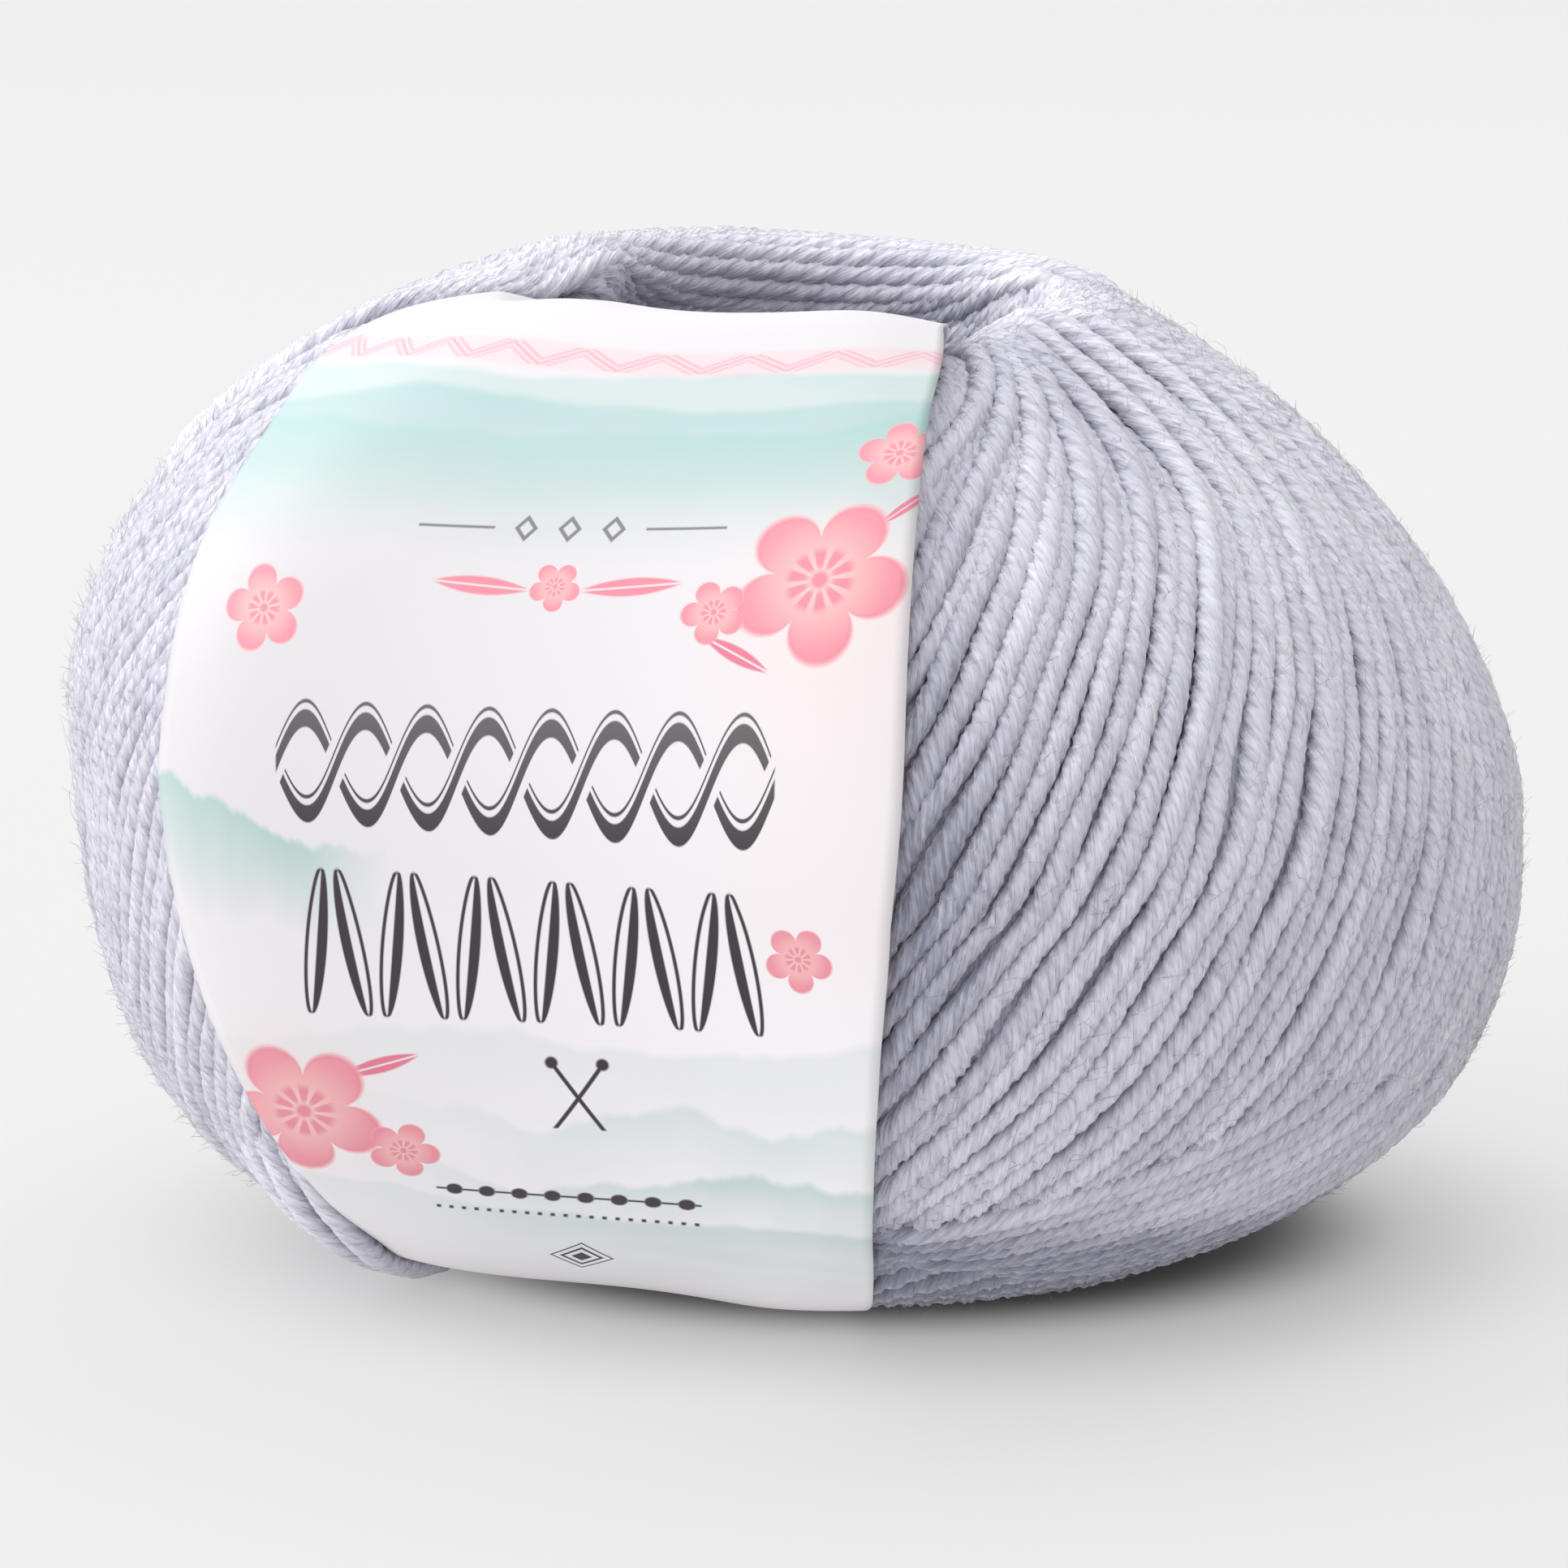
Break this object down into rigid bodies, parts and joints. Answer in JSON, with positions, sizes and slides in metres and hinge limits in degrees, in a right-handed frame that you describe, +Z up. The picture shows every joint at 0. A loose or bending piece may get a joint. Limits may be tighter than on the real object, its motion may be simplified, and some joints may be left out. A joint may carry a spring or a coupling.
{
  "type": "ball of yarn with a paper band",
  "caption": "Machine-wound ball of plied yarn with a centre hole, resting on a small flat spot, held by a wide paper band that runs through the hole.",
  "frame": {"origin": "middle of the underside of the whole ball's box, on the surface it rests on", "axes": "+Z up along the centre hole, -Y the side with the paper band, +X to the right seen from the band's side"},
  "size_m": [0.1002, 0.0954, 0.0687],
  "materials": {
    "yarn": "matt plied wool, slightly fuzzy",
    "label_paper": "smooth uncoated printed paper"
  },
  "bodies": {
    "root": {"yarn_ball": "yarn", "label_band": "label_paper"}
  },
  "joints": []
}
